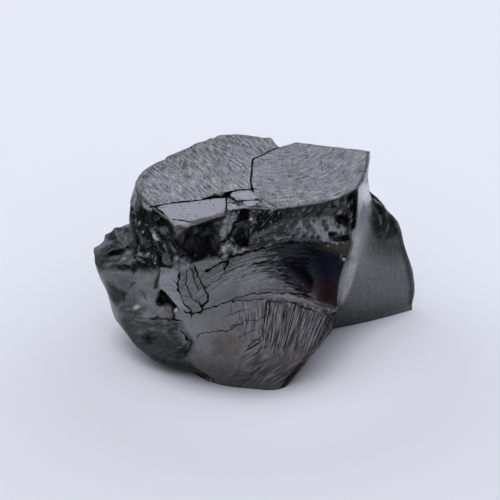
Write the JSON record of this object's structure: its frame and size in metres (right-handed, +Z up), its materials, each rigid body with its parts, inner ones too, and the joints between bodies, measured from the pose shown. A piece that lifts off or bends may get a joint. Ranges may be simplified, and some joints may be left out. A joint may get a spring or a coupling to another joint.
{
  "type": "shungite stone",
  "caption": "Broken lump of noble shungite with a flat cracked top, a curved glassy fracture face and a thin heel; rests on a flat break.",
  "frame": {"origin": "on the flat break that the stone stands on, under the middle of its bounding box", "axes": "+Z up; the curved fracture face looks towards -Y, the thin heel is at +X, the shelf at -X"},
  "size_m": [0.0498, 0.0307, 0.0295],
  "materials": {
    "shungite": "black carbon rock: glassy on its curved fracture face, satin on its top parting plane, with a grey submetallic sheen"
  },
  "bodies": {
    "root": {"stone": "shungite"}
  },
  "joints": []
}
